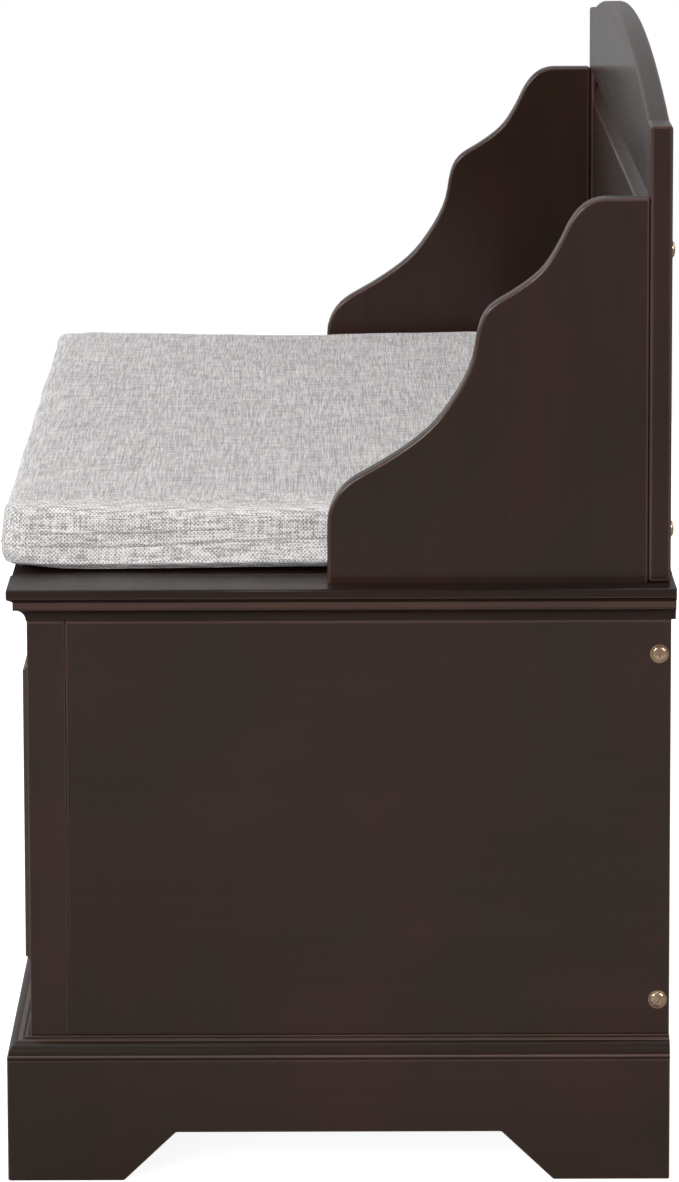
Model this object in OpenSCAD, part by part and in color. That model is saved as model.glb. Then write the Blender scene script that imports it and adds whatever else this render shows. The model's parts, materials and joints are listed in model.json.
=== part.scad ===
// Storage bench with a lift-up lid, ogee arms, an arched panelled backrest and a loose-laid cushion.
// Millimetres, +Z up, the front faces -Y, the origin is on the floor below the middle of the bench.

/* [Overall] */
// Length over the plinth
bench_l = 1100; // [900:1:1400]
// Depth of the seat boards, front lip to rear edge
seat_d = 457; // [440:1:520]
// Height of the top of the seat boards
seat_h = 413; // [380:1:480]
// Height of the backrest shoulders
back_h = 726; // [700:1:800]
// Rise of the arched crest above the shoulders
crest_rise = 35.5; // [10:0.5:60]
// Y of the front lip of the seat boards
seat_front_y = -225.5; // [-230:0.5:-220]

/* [Plinth] */
// Thickness of the plinth boards, which is also how far they stand out from the case
plinth_t = 16; // [14:0.5:20]
// Height of the plinth boards
plinth_h = 85; // [80:1:100]
// Height of the base moulding that caps the plinth
base_mould_h = 14.5; // [12:0.5:20]
// Width of a bracket foot where it stands on the floor
foot_w = 80; // [60:1:110]
// Height of the cut-out between the bracket feet
foot_cut_h = 34; // [20:1:45]
// Run of the sloping end of the cut-out
foot_slope = 36; // [15:1:60]

/* [Case] */
// Thickness of the side panels and the arms
board_t = 18; // [15:0.5:22]
// Depth of the front posts
post_d = 26; // [22:1:32]
// Width of the front posts
post_w = 45; // [38:1:60]
// Thickness of the front rails and mid stiles
rail_t = 20; // [18:0.5:24]
// Width of the two mid stiles
stile_w = 44; // [30:1:60]
// Height of the front opening's lower edge
front_open_z = 125.5; // [120:0.5:150]
// Height of the front opening between the rails
front_open_h = 235; // [180:1:240]
// Thickness of the rear panel
rear_t = 16; // [12:0.5:18]
// Thickness of the bottom panel
bottom_t = 12; // [9:0.5:16]

/* [Raised panels] */
// Width of the bevel round a front panel
front_bevel = 16; // [8:0.5:20]
// How far a front panel's field stands out from its frame
front_proud = 6; // [0:0.5:7]
// Width of the bevel round the back panel
back_bevel = 22; // [12:0.5:30]
// Depth of the back panel's bevel at its outer edge
back_recess = 7.5; // [3:0.5:8]

/* [Seat] */
// Thickness of the seat boards
seat_t = 14; // [14:0.5:16]
// How far the lip of the seat boards stands out from the case
lip_out = 13.5; // [12:0.5:16]
// Width of the fixed strip at each end of the lid
end_strip_w = 62.5; // [60:0.5:64]
// How far the lid's front lip is set back from the strips
lid_set_back = 1.2; // [0.5:0.1:3]
// Clearance at each end of the lid
lid_gap = 1; // [0.5:0.1:2]
// Thickness of the cushion
cushion_t = 45; // [30:1:46]
// Distance of the cushion's ends from the ends of the seat boards
cushion_inset = 73; // [66:1:100]

/* [Arms and back] */
// Distance of the arms' outer faces from the ends of the seat boards
arm_inset = 26; // [20:1:27]
// Depth of an arm, front to back
arm_d = 220; // [200:1:240]
// Height of an arm above the seat boards
arm_h = 264; // [240:1:280]
// Thickness of the backrest frame
back_t = 15; // [15:0.5:18]
// Width of the backrest stiles
back_stile_w = 48; // [40:1:70]
// Height of the backrest's bottom rail
back_rail_h = 58; // [40:1:80]

/* [Hardware] */
// Y of the lid's hinge axis
hinge_y = 156; // [140:1:158]
// Number of hinges
hinge_count = 3; // [2:1:4]
// Distance between the outer hinges
hinge_span = 660; // [400:10:800]
// Length of a hinge
hinge_l = 50; // [40:1:60]
// Outer radius of the hinge barrel
barrel_r = 3; // [2.5:0.1:3.5]
// Radius of the hinge pin
pin_r = 1.5; // [1.2:0.1:1.8]
// Diameter of a bolt head
bolt_head_d = 12; // [10:0.5:14]

/* [Hidden] */
$fn = 48;

wood = "#3a2e2a";
inner_wood = "#4a3b34";
brass = "#8c6e55";
steel = "#9a9a98";
linen = "#c4c2c2";
felt = "#3c3c3e";

// Planes of the case
base_x = bench_l / 2;
case_x = base_x - plinth_t;
seat_x = case_x + lip_out;
case_front = seat_front_y + lip_out;
seat_rear = seat_front_y + seat_d;
case_rear = seat_rear - 3;
panel_in_x = case_x - board_t;
panel_front = case_front + post_d;
rear_in_y = case_rear - rear_t;
case_bottom = foot_cut_h + 2;
block_w = 36;
v_groove = 1.0;
case_top = seat_h - seat_t;
mould_top = plinth_h + base_mould_h;
floor_z = mould_top - 2;
strip_in_x = seat_x - end_strip_w;
// Cornice: lip, then fascia, then cove
lip_h = 7.3;
lip_under = 1.9;
lip_ease = 0.8;
fascia_out = 9.1;
cove_h = 9.4;
edge_r = 1.5;
// Lid
lid_x = strip_in_x - lid_gap;
joint_gap = 2.4;
lid_rear = hinge_y - joint_gap / 2;
strip_front = hinge_y + joint_gap / 2;
axis_z = seat_h + 0.5;
bearer_w = 46;
bearer_h = 18;
rear_bearer = [20, 24];
batten = [60, 250, 12];
batten_pitch = 300;
batten_mid_y = -30;
// Front frame
open_x = case_x - post_w;
front_rail_in = case_front + rail_t;
bay_w = (2 * open_x - 2 * stile_w) / 3;
panel_groove = 8;
tongue_t = 5;
rail_lift = 20;
notch_w = 100;
front_recess = 5;
tongue_y = case_front + front_recess;
front_panel_t = front_recess + tongue_t + 2;
fit = 0.1;
// Arms and back
arm_out_x = seat_x - arm_inset;
arm_in_x = arm_out_x - board_t;
back_rear = case_rear;
back_front = back_rear - back_t;
arm_front = back_front - arm_d;
back_in_x = arm_out_x - back_stile_w;
back_open_z = seat_h + back_rail_h;
back_open_drop = 2;
back_open_top = seat_h + arm_h - back_open_drop;
back_tongue_t = 4;
back_field_t = 11.5;
// Bolts
bolt_r = 3;
bolt_head_h = 2;
side_bolt_inset = 24;
back_bolt_inset = 36;
bolt_side_z = [mould_top + side_bolt_inset, case_top - cove_h - side_bolt_inset];
bolt_back_z = [seat_h + back_bolt_inset, seat_h + arm_h - back_bolt_inset];
bolt_from_rear = 8;
insert_r = 4.75;
insert_l = 13;
insert_hole_l = 17;
key_af = 4;
key_depth = 3.5;
head_chamfer = [0.8, 0.6];
side_bolt_l = board_t + 15;
back_bolt_l = back_t + 14;
// Hinges
leaf_t = 1.5;
leaf_d = 24;
knuckles = 5;
knuckle_gap = 0.3;
pin_play = 0.05;
screw_r = 1.6;
screw_head_r = 3.2;
screw_l = 10;
// Cushion
tape_t = 1.5;
tape_w = 60;
tape_d = 25;
tape_y = [-190, 90];
cushion_z = seat_h + tape_t;
cushion_front = seat_front_y - 6;
cushion_rear = hinge_y - 6;
cushion_x = seat_x - cushion_inset;
tape_x = cushion_x - 110;
cushion_r = 14;

// An arc as a list of points, from angle a0 to a1 about c
function arc(c, r, a0, a1, n = 8) =
    [for (i = [0:n]) c + r * [cos(a0 + (a1 - a0) * i / n), sin(a0 + (a1 - a0) * i / n)]];

// Outward-by-height outline of a seat board's edge, from far inside to the lip
function seat_edge(out, inside) = concat(
    [[-inside, case_top], [fascia_out - lip_out + out, case_top]],
    [[fascia_out - lip_out + out, seat_h - lip_h - lip_under], [out - lip_ease, seat_h - lip_h]],
    [[out, seat_h - lip_h + lip_ease]],
    arc([out - edge_r, seat_h - edge_r], edge_r, 0, 90, 6),
    [[-inside, seat_h]]);

// Outline of the cove under the seat boards, outward by height
cove_outline = concat(
    [[0, case_top], [0, case_top - cove_h]],
    arc([fascia_out, case_top - cove_h], fascia_out - 0.6, 180, 90, 10),
    [[fascia_out, case_top]]);

// Outline of the base moulding: a bead, an ovolo and a lip
ovolo_r = 9.9;
base_outline = concat(
    [[0, plinth_h], [plinth_t, plinth_h], [plinth_t, plinth_h + 2.2], [plinth_t - 1.1, plinth_h + 2.6]],
    arc([plinth_t - 1.1 - ovolo_r, plinth_h + 2.9], ovolo_r, 0, 86, 10),
    arc([2.6, mould_top - 1.4], 1.4, -20, 90, 5),
    [[0, mould_top]]);

// Extrudes an outline of (outward, height) along +Y, with outward as +X from x0
module along_y(x0, y0, y1) {
    translate([x0, y1, 0]) rotate([90, 0, 0]) linear_extrude(y1 - y0) children();
}

// Extrudes an outline of (outward, height) along X, with outward as -Y from y0
module along_x(y0, x0, x1) {
    translate([x0, y0, 0]) rotate([90, 0, 0]) rotate([0, -90, 0]) mirror([0, 0, 1])
        linear_extrude(x1 - x0) children();
}

// Keeps the side piece's half of the mitre at the right front corner of the case
module side_mitre() {
    intersection() {
        children();
        translate([case_x, case_front, -1]) linear_extrude(seat_h + 2)
            polygon([[-60, 60], [0, 0], [60, -60], [60, 600], [-60, 600]]);
    }
}

// Keeps the front piece's part between the two mitres
module front_mitre() {
    intersection() {
        children();
        translate([0, case_front, -1]) linear_extrude(seat_h + 2)
            polygon([[-case_x, 0], [-case_x - 60, -60], [case_x + 60, -60], [case_x, 0]]);
    }
}

// Outline of a plinth board of length l with a bracket foot at each end
module bracket_board(l) {
    polygon([[0, 0], [foot_w, 0], [foot_w + foot_slope, foot_cut_h],
             [l - foot_w - foot_slope, foot_cut_h], [l - foot_w, 0], [l, 0],
             [l, plinth_h], [0, plinth_h]]);
}

// Left-hand twin of a right-hand piece
module left() {
    mirror([1, 0, 0]) children();
}

module plinth_side() {
    side_mitre() along_y(case_x, case_front - plinth_t, case_rear)
        square([plinth_t, plinth_h]);
}

module plinth_side_right() {
    color(wood) intersection() {
        plinth_side();
        translate([case_x - 1, case_front - plinth_t, 0]) rotate([90, 0, 90])
            linear_extrude(plinth_t + 2) bracket_board(case_rear - case_front + plinth_t);
    }
}

module plinth_side_left() {
    left() plinth_side_right();
}

module plinth_front() {
    color(wood) front_mitre()
        translate([-base_x, case_front, 0]) rotate([90, 0, 0])
            linear_extrude(plinth_t) bracket_board(2 * base_x);
}

module base_moulding_right() {
    color(wood) side_mitre() along_y(case_x, case_front - plinth_t, case_rear)
        polygon(base_outline);
}

module base_moulding_left() {
    left() base_moulding_right();
}

module base_moulding_front() {
    color(wood) front_mitre() along_x(case_front, -base_x, base_x) polygon(base_outline);
}

// Glue block behind a bracket foot, which the case stands on
module foot_block(y) {
    color(inner_wood) translate([case_x - block_w, y, 0]) cube([block_w, block_w, case_bottom]);
}

module foot_block_front_right() {
    foot_block(case_front);
}

module foot_block_front_left() {
    left() foot_block_front_right();
}

module foot_block_rear_right() {
    foot_block(case_rear - block_w);
}

module foot_block_rear_left() {
    left() foot_block_rear_right();
}

// Bolt hole along X, drilled through the side panel
module side_bolt_holes(r) {
    for (z = bolt_side_z)
        translate([case_x + 1, case_rear - bolt_from_rear, z]) rotate([0, -90, 0])
            cylinder(r = r, h = board_t + 2);
}

module side_panel_right() {
    color(wood) difference() {
        translate([panel_in_x, panel_front, case_bottom])
            cube([board_t, case_rear - panel_front, case_top - case_bottom]);
        side_bolt_holes(bolt_r + fit);
        // V-groove at the joint with the front post
        translate([case_x, panel_front, mould_top - 4]) rotate([0, 0, 45])
            translate([-v_groove / 2, -v_groove / 2, 0]) cube([v_groove, v_groove, case_top]);
    }
}

module side_panel_left() {
    left() side_panel_right();
}

module front_post_right() {
    color(wood) difference() {
        translate([open_x, case_front, case_bottom])
            cube([post_w, post_d, case_top - case_bottom]);
        front_groove();
    }
}

module front_post_left() {
    left() front_post_right();
}

// Left edge of front bay i
function bay_x(i) = -open_x + i * (bay_w + stile_w);

// Grooves for the tongues of the three front panels
module front_groove() {
    for (i = [0:2])
        translate([bay_x(i) - panel_groove, tongue_y - fit, front_open_z - panel_groove])
            cube([bay_w + 2 * panel_groove, tongue_t + 2 * fit, front_open_h + 2 * panel_groove]);
}

module front_rail(z0, z1) {
    color(wood) difference() {
        translate([-open_x, case_front, z0]) cube([2 * open_x, rail_t, z1 - z0]);
        front_groove();
    }
}

module front_top_rail() {
    front_rail(front_open_z + front_open_h, case_top);
}

module front_bottom_rail() {
    front_rail(case_bottom + rail_lift, front_open_z);
}

module mid_stile_right() {
    color(wood) difference() {
        translate([bay_w / 2, case_front, front_open_z]) cube([stile_w, rail_t, front_open_h]);
        front_groove();
    }
}

module mid_stile_left() {
    left() mid_stile_right();
}

// Raised panel w by h, its opening's lower left corner at the origin, its frame's front face at y = 0.
// groove is the depth of its tongue, bevel and proud shape the field, edge is the depth of the
// bevel's outer end behind the frame's face, and thick is the depth of the panel's back face.
module raised_panel(w, h, bevel, proud, edge, tongue, thick, groove) {
    step = 1;
    function outline(s) = [
        [-groove, edge], [0, edge], [bevel, step - proud], [bevel, -proud],
        [s - bevel, -proud], [s - bevel, step - proud], [s, edge], [s + groove, edge],
        [s + groove, edge + tongue], [s - fit, edge + tongue], [s - fit, thick],
        [fit, thick], [fit, edge + tongue], [-groove, edge + tongue]];
    intersection() {
        translate([0, 0, -groove]) linear_extrude(h + 2 * groove) polygon(outline(w));
        translate([-groove, 0, 0]) rotate([90, 0, 90]) linear_extrude(w + 2 * groove)
            polygon([for (p = outline(h)) [p[1], p[0]]]);
    }
}

module front_panel(i) {
    color(wood)
        translate([bay_x(i), case_front, front_open_z])
            raised_panel(bay_w, front_open_h, front_bevel, front_proud, front_recess,
                         tongue_t, front_panel_t, panel_groove - 1);
}

module front_panel_left() {
    front_panel(0);
}

module front_panel_middle() {
    front_panel(1);
}

module front_panel_right() {
    front_panel(2);
}

module rear_panel() {
    color(inner_wood) difference() {
        translate([-panel_in_x, rear_in_y, case_bottom])
            cube([2 * panel_in_x, rear_t, case_top - case_bottom]);
        for (s = [-1, 1], z = bolt_side_z)
            translate([s * (panel_in_x + 1), case_rear - bolt_from_rear, z])
                rotate([0, -90 * s, 0]) cylinder(r = insert_r + fit / 2, h = insert_hole_l + 1);
        back_dowel_holes();
    }
}

module bottom_panel() {
    color(inner_wood) difference() {
        translate([-panel_in_x, front_rail_in, floor_z - bottom_t])
            cube([2 * panel_in_x, rear_in_y - front_rail_in, bottom_t]);
        for (s = [-1, 1])
            translate([s * (open_x + notch_w / 2) - notch_w / 2, front_rail_in - 1, floor_z - bottom_t - 1])
                cube([notch_w, panel_front - front_rail_in + 1, bottom_t + 2]);
    }
}

cleat = 18;
cleat_z = floor_z - bottom_t - cleat;

module cleat_front() {
    color(inner_wood) translate([-open_x, front_rail_in, cleat_z])
        cube([2 * open_x, cleat, cleat]);
}

module cleat_rear() {
    color(inner_wood) translate([-panel_in_x, rear_in_y - cleat, cleat_z])
        cube([2 * panel_in_x, cleat, cleat]);
}

module cleat_right() {
    color(inner_wood) translate([panel_in_x - cleat, panel_front, cleat_z])
        cube([cleat, rear_in_y - cleat - panel_front, cleat]);
}

module cleat_left() {
    left() cleat_right();
}

module seat_bearer_right() {
    color(inner_wood) difference() {
        translate([panel_in_x - bearer_w, panel_front, case_top - bearer_h])
            cube([bearer_w, rear_in_y - panel_front, bearer_h]);
        arm_screw_holes(arm_screw_r + fit);
    }
}

module seat_bearer_left() {
    left() seat_bearer_right();
}

module seat_bearer_rear() {
    color(inner_wood) translate([bearer_w - panel_in_x, rear_in_y - rear_bearer[0], case_top - rear_bearer[1]])
        cube([2 * (panel_in_x - bearer_w), rear_bearer[0], rear_bearer[1]]);
}

// Screws that hold each arm from below, through the bearer and the strip
arm_screw_r = 2.25;
arm_screw_l = 62;
arm_screw_hole_spare = 4;
arm_screw_head = [4.5, 2.5];
arm_screw_x = panel_in_x - 7;
arm_screw_y = [arm_front + 35, back_front - 40];

module arm_screw_holes(r) {
    for (y = arm_screw_y)
        translate([arm_screw_x, y, case_top - bearer_h - 1]) cylinder(r = r, h = arm_screw_l);
}

module seat_strip_right() {
    color(wood) difference() {
        intersection() {
            along_y(case_x, seat_front_y, seat_rear) polygon(seat_edge(lip_out, case_x - strip_in_x));
            along_x(case_front, strip_in_x, seat_x) polygon(seat_edge(lip_out, seat_d));
        }
        arm_screw_holes(arm_screw_r + fit);
    }
}

module seat_strip_left() {
    left() seat_strip_right();
}

// Room for the hinge barrels in the two seat boards that meet at the hinge line
module barrel_notches() {
    for (x = hinge_x)
        translate([x - hinge_l / 2 - 0.5, hinge_y, axis_z]) rotate([0, 90, 0])
            cylinder(r = barrel_r + 0.4, h = hinge_l + 1);
}

// Mortises for the hinge leaves; side is -1 on the lid and 1 on the rear strip
module leaf_mortises(side) {
    for (x = hinge_x)
        translate([x - hinge_l / 2 - fit, hinge_y + (side < 0 ? -leaf_d - fit : 0), seat_h - leaf_t])
            cube([hinge_l + 2 * fit, leaf_d + fit, leaf_t + 1]);
    for (p = leaf_screws(side))
        translate([p[0], p[1], seat_h - screw_l - 0.5]) cylinder(r = screw_r, h = screw_l);
}

module seat_strip_rear() {
    color(wood) difference() {
        translate([-strip_in_x, strip_front, case_top])
            cube([2 * strip_in_x, seat_rear - strip_front, seat_t]);
        barrel_notches();
        leaf_mortises(1);
        back_dowel_holes();
    }
}

module cove_right() {
    color(wood) side_mitre() along_y(case_x, case_front - fascia_out, seat_rear)
        polygon(cove_outline);
}

module cove_left() {
    left() cove_right();
}

module cove_front() {
    color(wood) front_mitre() along_x(case_front, -seat_x, seat_x) polygon(cove_outline);
}

module lid_board() {
    color(wood) difference() {
        along_x(case_front, -lid_x, lid_x)
            polygon(seat_edge(lip_out - lid_set_back, lid_rear - case_front));
        barrel_notches();
        leaf_mortises(-1);
    }
}

module lid_batten(i) {
    color(inner_wood)
        translate([i * batten_pitch - batten[0] / 2, batten_mid_y - batten[1] / 2, case_top - batten[2]])
            cube(batten);
}

module lid_batten_left() {
    lid_batten(-1);
}

module lid_batten_middle() {
    lid_batten(0);
}

module lid_batten_right() {
    lid_batten(1);
}

// Arm outline: each knot is (back from the arm's front, up from the seat, direction of travel)
arm_knots = [[0, 41, 90], [15.5, 70, 35], [40, 84.5, 32], [79, 117, 54], [101, 162, 82],
             [110, 188.5, 47], [127, 200, 33], [151, 221, 57], [162, 241, 66], [175, 259, 38],
             [190, arm_h, 0]];

// Cubic curve between two knots, with both tangents as long as the chord
function knot_curve(a, b, n = 6) =
    let (p = [a[0], a[1]], q = [b[0], b[1]], l = norm(q - p),
         u = l * [cos(a[2]), sin(a[2])], v = l * [cos(b[2]), sin(b[2])])
    [for (i = [1:n]) let (t = i / n)
        (2 * t * t * t - 3 * t * t + 1) * p + (t * t * t - 2 * t * t + t) * u
        + (3 * t * t - 2 * t * t * t) * q + (t * t * t - t * t) * v];

arm_outline = concat(
    [[0, 0], [arm_knots[0][0], arm_knots[0][1]]],
    [for (i = [0:len(arm_knots) - 2]) each knot_curve(arm_knots[i], arm_knots[i + 1])],
    [[arm_d, arm_h], [arm_d, 0]]);

// Bolt holes along Y, l deep from just behind the backrest
module back_bolt_holes(r, l) {
    for (z = bolt_back_z)
        translate([arm_in_x + board_t / 2, back_rear + 1, z]) rotate([90, 0, 0])
            cylinder(r = r, h = l);
}

module arm_right() {
    color(wood) difference() {
        translate([arm_in_x, arm_front, seat_h]) rotate([90, 0, 90])
            linear_extrude(board_t) polygon(arm_outline);
        back_bolt_holes(insert_r + fit / 2, back_t + insert_hole_l + 1);
        arm_screw_holes(arm_screw_r);
    }
}

module arm_left() {
    left() arm_right();
}

// Groove for the back panel's tongue, round the whole opening
module back_groove() {
    translate([-back_in_x - panel_groove, back_front + back_recess - fit, back_open_z - panel_groove])
        cube([2 * (back_in_x + panel_groove), back_tongue_t + 2 * fit,
              back_open_top - back_open_z + 2 * panel_groove]);
}

module back_stile_right() {
    color(wood) difference() {
        translate([back_in_x, back_front, seat_h]) cube([back_stile_w, back_t, back_h - seat_h]);
        back_groove();
        back_bolt_holes(bolt_r + fit, back_t + 2);
    }
}

module back_stile_left() {
    left() back_stile_right();
}

// The crest is one circular arch between the stiles
crest_radius = (back_in_x * back_in_x + crest_rise * crest_rise) / (2 * crest_rise);

module back_crest_rail() {
    color(wood) difference() {
        intersection() {
            translate([-back_in_x, back_front, back_open_top])
                cube([2 * back_in_x, back_t, back_h + crest_rise]);
            translate([0, back_rear + 1, back_h + crest_rise - crest_radius]) rotate([90, 0, 0])
                cylinder(r = crest_radius, h = back_t + 2, $fn = 720);
        }
        back_groove();
    }
}

module back_bottom_rail() {
    color(wood) difference() {
        translate([-back_in_x, back_front, seat_h]) cube([2 * back_in_x, back_t, back_rail_h]);
        back_groove();
        back_dowel_holes();
    }
}

module back_panel() {
    color(wood) translate([-back_in_x, back_front, back_open_z])
        raised_panel(2 * back_in_x, back_open_top - back_open_z, back_bevel, 0, back_recess,
                     back_tongue_t, back_field_t + 1, panel_groove - 1);
}

// Dowels that stand in the rear panel and the rear strip and hold the bottom rail of the back
dowel_r = 4;
dowel_x = [-400, -135, 135, 400];
dowel_down = 20;
dowel_up = 30;
dowel_z = [case_top - dowel_down, seat_h + dowel_up];

module back_dowel_holes() {
    for (x = dowel_x)
        translate([x, back_rear - back_t / 2, dowel_z[0] - 1])
            cylinder(r = dowel_r + fit / 2, h = dowel_z[1] - dowel_z[0] + 2);
}

module back_dowels() {
    color(inner_wood) for (x = dowel_x)
        translate([x, back_rear - back_t / 2, dowel_z[0]])
            cylinder(r = dowel_r, h = dowel_z[1] - dowel_z[0]);
}

// Bolt with a low head and a hexagon key socket, the head's underside at the origin, the shank to -Z
module bolt(l) {
    difference() {
        union() {
            translate([0, 0, -l]) cylinder(r = bolt_r, h = l);
            cylinder(r = bolt_head_d / 2, h = bolt_head_h - head_chamfer[1]);
            translate([0, 0, bolt_head_h - head_chamfer[1]])
                cylinder(r1 = bolt_head_d / 2, r2 = bolt_head_d / 2 - head_chamfer[0], h = head_chamfer[1]);
        }
        translate([0, 0, bolt_head_h - key_depth]) cylinder(d = key_af / cos(30), h = key_depth + 1, $fn = 6);
    }
}

module side_bolts() {
    color(brass) for (s = [-1, 1], z = bolt_side_z)
        translate([s * case_x, case_rear - bolt_from_rear, z]) rotate([0, 90 * s, 0])
            bolt(side_bolt_l);
}

module back_bolts() {
    color(brass) for (s = [-1, 1], z = bolt_back_z)
        translate([s * (arm_in_x + board_t / 2), back_rear, z]) rotate([-90, 0, 0])
            bolt(back_bolt_l);
}

module bolt_insert() {
    difference() {
        cylinder(r = insert_r, h = insert_l);
        translate([0, 0, -1]) cylinder(r = bolt_r + fit / 2, h = insert_l + 2);
    }
}

module bolt_inserts() {
    color(steel) for (s = [-1, 1]) {
        for (z = bolt_side_z)
            translate([s * panel_in_x, case_rear - bolt_from_rear, z]) rotate([0, -90 * s, 0])
                bolt_insert();
        for (z = bolt_back_z)
            translate([s * (arm_in_x + board_t / 2), back_front, z]) rotate([90, 0, 0])
                bolt_insert();
    }
}

module arm_screws() {
    color(steel) for (s = [-1, 1], y = arm_screw_y)
        translate([s * arm_screw_x, y, case_top - bearer_h]) {
            translate([0, 0, -arm_screw_head[1]]) cylinder(r = arm_screw_head[0], h = arm_screw_head[1]);
            cylinder(r = arm_screw_r, h = arm_screw_l - arm_screw_hole_spare);
        }
}

// Hinge places along the lid
hinge_x = [for (i = [0:hinge_count - 1]) -hinge_span / 2 + i * hinge_span / (hinge_count - 1)];
knuckle_l = hinge_l / knuckles;

// Distance of a leaf's screw i from the hinge line; the middle one of the three stands further off
function screw_reach(i) = leaf_d * (i == 0 ? 0.72 : 0.5);

// Screw places on one side of the hinge line
function leaf_screws(side) = [
    for (x = hinge_x, i = [-1:1]) [x + i * hinge_l / 3, hinge_y + side * screw_reach(i)]];

// Leaf and its knuckles; side is -1 for the lid and 1 for the rear strip, first is its first knuckle
module hinge_leaf(side, first, bore) {
    difference() {
        union() {
            difference() {
                translate([-hinge_l / 2, side < 0 ? -leaf_d : 0, seat_h - leaf_t - axis_z])
                    cube([hinge_l, leaf_d, leaf_t]);
                rotate([0, 90, 0]) translate([0, 0, -hinge_l]) cylinder(r = barrel_r + 0.3, h = 2 * hinge_l);
            }
            for (k = [first:2:knuckles - 1])
                translate([-hinge_l / 2 + k * knuckle_l + knuckle_gap / 2, 0, 0]) {
                    rotate([0, 90, 0]) cylinder(r = barrel_r, h = knuckle_l - knuckle_gap);
                    translate([0, side < 0 ? -barrel_r - 1 : 0, seat_h - leaf_t - axis_z])
                        cube([knuckle_l - knuckle_gap, barrel_r + 1, leaf_t]);
                }
        }
        rotate([0, 90, 0]) translate([0, 0, -hinge_l]) cylinder(r = bore, h = 2 * hinge_l);
        for (i = [-1:1])
            translate([i * hinge_l / 3, side * screw_reach(i), 0])
                screw_shape(fit);
    }
}

// Countersunk screw with its flat head level with the leaf
module screw_shape(grow) {
    top = seat_h - axis_z;
    translate([0, 0, top - leaf_t]) cylinder(r1 = screw_r + grow, r2 = screw_head_r + grow, h = leaf_t);
    translate([0, 0, top - screw_l]) cylinder(r = screw_r + grow, h = screw_l);
}

module hinge_fixed_leaves() {
    color(brass) for (x = hinge_x) translate([x, hinge_y, axis_z]) hinge_leaf(1, 0, pin_r);
}

module hinge_lid_leaves() {
    color(brass) for (x = hinge_x) translate([x, hinge_y, axis_z]) hinge_leaf(-1, 1, pin_r + pin_play);
}

module hinge_pins() {
    color(steel) for (x = hinge_x)
        translate([x - hinge_l / 2, hinge_y, axis_z]) rotate([0, 90, 0])
            cylinder(r = pin_r, h = hinge_l);
}

module hinge_screws(side) {
    color(brass) for (p = leaf_screws(side)) translate([p[0], p[1], axis_z]) screw_shape(0);
}

module hinge_fixed_screws() {
    hinge_screws(1);
}

module hinge_lid_screws() {
    hinge_screws(-1);
}

module cushion_tapes() {
    color(felt) for (s = [-1, 1], y = tape_y)
        translate([s * tape_x - tape_w / 2, y, seat_h]) cube([tape_w, tape_d, tape_t]);
}

module cushion() {
    w = 2 * cushion_x;
    d = cushion_rear - cushion_front;
    color(linen) translate([-cushion_x, cushion_front, cushion_z]) linear_extrude(cushion_t) {
        translate([cushion_r, 0]) square([w - 2 * cushion_r, d]);
        translate([0, cushion_r]) square([w, d - 2 * cushion_r]);
        for (x = [cushion_r, w - cushion_r], y = [cushion_r, d - cushion_r])
            translate([x, y]) circle(r = cushion_r);
    }
}

plinth_side_left();
plinth_side_right();
plinth_front();
base_moulding_left();
base_moulding_right();
base_moulding_front();
foot_block_front_left();
foot_block_front_right();
foot_block_rear_left();
foot_block_rear_right();
side_panel_left();
side_panel_right();
front_post_left();
front_post_right();
front_top_rail();
front_bottom_rail();
mid_stile_left();
mid_stile_right();
front_panel_left();
front_panel_middle();
front_panel_right();
rear_panel();
bottom_panel();
cleat_front();
cleat_rear();
cleat_left();
cleat_right();
seat_bearer_left();
seat_bearer_right();
seat_bearer_rear();
seat_strip_left();
seat_strip_right();
seat_strip_rear();
cove_left();
cove_right();
cove_front();
lid_board();
lid_batten_left();
lid_batten_middle();
lid_batten_right();
arm_left();
arm_right();
back_stile_left();
back_stile_right();
back_crest_rail();
back_bottom_rail();
back_panel();
side_bolts();
back_bolts();
bolt_inserts();
hinge_fixed_leaves();
hinge_lid_leaves();
hinge_pins();
hinge_fixed_screws();
hinge_lid_screws();
arm_screws();
back_dowels();
cushion_tapes();
cushion();
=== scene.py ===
"""Looks of the storage bench: stained wood, a sewn linen cushion, bolts, floor, light and camera."""
import json
import math

import bmesh
import bpy
import numpy as np
from mathutils import Matrix, Vector, noise
from mathutils.bvhtree import BVHTree


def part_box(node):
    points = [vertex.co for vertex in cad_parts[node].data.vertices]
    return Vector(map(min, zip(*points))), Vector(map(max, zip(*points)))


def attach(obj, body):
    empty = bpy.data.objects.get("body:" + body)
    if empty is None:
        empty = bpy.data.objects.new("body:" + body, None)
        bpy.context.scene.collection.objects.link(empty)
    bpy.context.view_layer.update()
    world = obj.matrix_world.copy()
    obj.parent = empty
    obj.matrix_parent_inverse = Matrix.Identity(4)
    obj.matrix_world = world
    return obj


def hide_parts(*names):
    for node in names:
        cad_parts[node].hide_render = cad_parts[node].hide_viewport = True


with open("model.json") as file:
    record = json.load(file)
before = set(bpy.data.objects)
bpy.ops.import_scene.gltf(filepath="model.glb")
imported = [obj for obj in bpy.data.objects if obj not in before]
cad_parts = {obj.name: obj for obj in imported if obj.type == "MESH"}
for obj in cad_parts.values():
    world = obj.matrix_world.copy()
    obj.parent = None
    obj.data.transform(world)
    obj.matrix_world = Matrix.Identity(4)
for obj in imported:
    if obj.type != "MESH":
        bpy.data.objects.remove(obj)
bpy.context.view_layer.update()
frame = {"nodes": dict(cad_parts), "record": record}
MM = 0.001
NODES = frame["nodes"]
SLOT_OF = {s["node"]: s["material_slot"] for s in frame["record"]["subparts"]}
BODY_OF = {n: b for b, members in frame["record"]["behaviour"]["bodies"].items() for n in members}


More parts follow.
